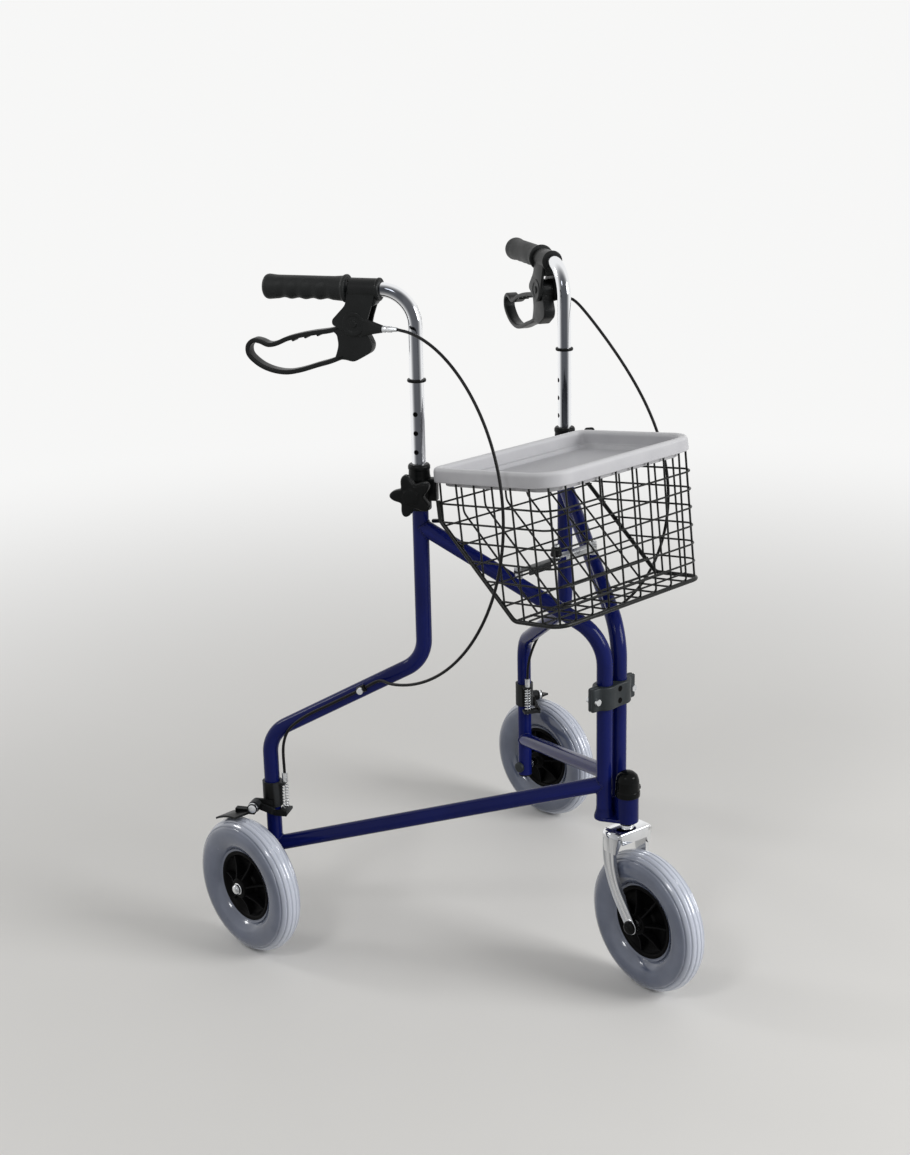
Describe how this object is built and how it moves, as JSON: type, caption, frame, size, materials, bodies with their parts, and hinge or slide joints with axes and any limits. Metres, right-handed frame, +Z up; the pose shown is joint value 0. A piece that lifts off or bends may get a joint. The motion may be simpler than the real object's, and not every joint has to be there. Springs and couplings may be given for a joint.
{
  "type": "three wheel rollator",
  "caption": "Folding three wheeled walking frame with swivel front wheel, telescoping brake handles, wire basket and tray.",
  "frame": {"origin": "on the floor under the middle of the overall box", "axes": "+Z up, -Y the way it travels, +X the left hand of the user"},
  "size_m": [0.6874, 0.6851, 0.9715],
  "materials": {
    "blue_paint": "gloss",
    "black_plastic": "satin",
    "dark_plastic": "satin",
    "zinc": "bright zinc",
    "chrome": "polished",
    "tyre": "gloss",
    "rim": "satin",
    "cable": "satin",
    "black_steel": "satin",
    "dark_steel": "satin",
    "grip": "matte",
    "wire": "satin",
    "tray": "satin"
  },
  "bodies": {
    "head": {"head_housing": "blue_paint", "head_cap": "black_plastic", "head_bushes": "dark_plastic", "hinge_block_front": "dark_plastic", "hinge_block_rear": "dark_plastic", "hinge_block_bolts": "zinc"},
    "caster": {"caster_fork": "chrome", "caster_stem": "zinc", "front_axle": "zinc", "front_axle_caps": "black_plastic"},
    "front_wheel": {"front_tyre": "tyre", "front_rim": "rim", "front_bearings": "zinc"},
    "right_frame": {"right_rear_tube": "blue_paint", "right_front_tube": "blue_paint", "right_lower_tube": "blue_paint", "right_clamp": "black_plastic", "right_cable": "cable", "right_brake_carrier": "black_steel", "right_brake_spring": "zinc", "right_fasteners": "zinc", "right_axle": "zinc"},
    "right_handle": {"right_stem": "chrome", "right_grip": "grip", "right_lever_bracket": "black_plastic", "right_adjuster": "zinc"},
    "right_lever_body": {"right_lever": "black_plastic"},
    "right_knob_body": {"right_knob": "black_plastic"},
    "right_brake": {"right_brake_arm": "black_steel"},
    "right_wheel": {"right_tyre": "tyre", "right_rim": "rim", "right_bearings": "zinc"},
    "right_link_body": {"right_link": "dark_steel"},
    "left_frame": {"left_rear_tube": "blue_paint", "left_front_tube": "blue_paint", "left_lower_tube": "blue_paint", "left_clamp": "black_plastic", "left_cable": "cable", "left_brake_carrier": "black_steel", "left_brake_spring": "zinc", "left_fasteners": "zinc", "left_axle": "zinc"},
    "left_handle": {"left_stem": "chrome", "left_grip": "grip", "left_lever_bracket": "black_plastic", "left_adjuster": "zinc"},
    "left_lever_body": {"left_lever": "black_plastic"},
    "left_knob_body": {"left_knob": "black_plastic"},
    "left_brake": {"left_brake_arm": "black_steel"},
    "left_wheel": {"left_tyre": "tyre", "left_rim": "rim", "left_bearings": "zinc"},
    "left_link_body": {"left_link": "zinc", "brace_knob": "black_plastic"},
    "basket": {"basket_front": "wire", "basket_left": "wire", "basket_right": "wire", "basket_back": "wire", "basket_floor": "wire"},
    "tray_body": {"tray": "tray"}
  },
  "joints": [
    {"name": "caster_swivel", "type": "hinge", "parent": "head", "child": "caster", "pos_m": [0, -0.20046, 0.234], "axis": [0, 0, 1], "continuous": true},
    {"name": "front_wheel_spin", "type": "hinge", "parent": "caster", "child": "front_wheel", "pos_m": [-0.00524, -0.24314, 0.1], "axis": [0.9925, -0.1219, 0], "continuous": true},
    {"name": "right_fold", "type": "hinge", "parent": "head", "child": "right_frame", "pos_m": [-0.0145, -0.17146, 0], "axis": [0, 0, -1], "range_deg": [0, 27], "deforming": ["right_cable"]},
    {"name": "right_link_turn", "type": "hinge", "parent": "right_frame", "child": "right_link_body", "pos_m": [-0.07476, -0.07117, 0], "axis": [0, 0, -1], "range_deg": [0, 45.85]},
    {"name": "right_wheel_spin", "type": "hinge", "parent": "right_frame", "child": "right_wheel", "pos_m": [-0.31326, 0.24255, 0.1], "axis": [1, 0, 0], "continuous": true},
    {"name": "right_height", "type": "slide", "parent": "right_frame", "child": "right_handle", "axis": [0, 0, 1], "range_m": [-0.102, 0.0255], "deforming": ["right_cable"]},
    {"name": "right_knob_turn", "type": "hinge", "parent": "right_frame", "child": "right_knob_body", "pos_m": [-0.14326, 0.04283, 0.69], "axis": [-0.8572, -0.515, 0], "continuous": true},
    {"name": "right_squeeze", "type": "hinge", "parent": "right_handle", "child": "right_lever_body", "pos_m": [-0.18003, 0.11501, 0.909], "axis": [0.891, 0.454, 0], "range_deg": [0, 14], "stiffness_Nm_per_rad": 2},
    {"name": "right_brake_press", "type": "hinge", "parent": "right_frame", "child": "right_brake", "pos_m": [-0.27356, 0.2597, 0.214], "axis": [-0.8572, -0.515, 0], "range_deg": [0, 3.8], "deforming": ["right_brake_spring"]},
    {"name": "left_fold", "type": "hinge", "parent": "head", "child": "left_frame", "pos_m": [0.0145, -0.17146, 0], "axis": [0, 0, 1], "range_deg": [0, 27], "deforming": ["left_cable"]},
    {"name": "left_link_turn", "type": "hinge", "parent": "left_frame", "child": "left_link_body", "pos_m": [0.07476, -0.07117, 0], "axis": [0, 0, 1], "range_deg": [0, 45.85]},
    {"name": "left_wheel_spin", "type": "hinge", "parent": "left_frame", "child": "left_wheel", "pos_m": [0.31326, 0.24255, 0.1], "axis": [1, 0, 0], "continuous": true},
    {"name": "left_height", "type": "slide", "parent": "left_frame", "child": "left_handle", "axis": [0, 0, 1], "range_m": [-0.102, 0.0255], "deforming": ["left_cable"]},
    {"name": "left_knob_turn", "type": "hinge", "parent": "left_frame", "child": "left_knob_body", "pos_m": [0.14326, 0.04283, 0.69], "axis": [0.8572, -0.515, 0], "continuous": true},
    {"name": "left_squeeze", "type": "hinge", "parent": "left_handle", "child": "left_lever_body", "pos_m": [0.18003, 0.11501, 0.909], "axis": [0.891, -0.454, 0], "range_deg": [0, 14], "stiffness_Nm_per_rad": 2},
    {"name": "left_brake_press", "type": "hinge", "parent": "left_frame", "child": "left_brake", "pos_m": [0.27356, 0.2597, 0.214], "axis": [-0.8572, 0.515, 0], "range_deg": [0, 3.8], "deforming": ["left_brake_spring"]},
    {"name": "basket_lift", "type": "slide", "parent": "head", "child": "basket", "axis": [0, -0.5, 0.866], "range_m": [0, 0.4501]},
    {"name": "tray_lift", "type": "slide", "parent": "basket", "child": "tray_body", "axis": [0, 0, 1], "range_m": [0, 0.12]}
  ],
  "couplings": [
    {"joint": "right_link_turn", "follows": "right_fold", "ratio": 1.6798},
    {"joint": "right_brake_press", "follows": "right_squeeze", "ratio": 0.27},
    {"joint": "left_link_turn", "follows": "right_fold", "ratio": 1.6798},
    {"joint": "left_brake_press", "follows": "left_squeeze", "ratio": 0.27},
    {"joint": "left_fold", "follows": "right_fold", "ratio": 1},
    {"joint": "basket_lift", "follows": "right_fold", "m_per_rad": 0.955}
  ]
}
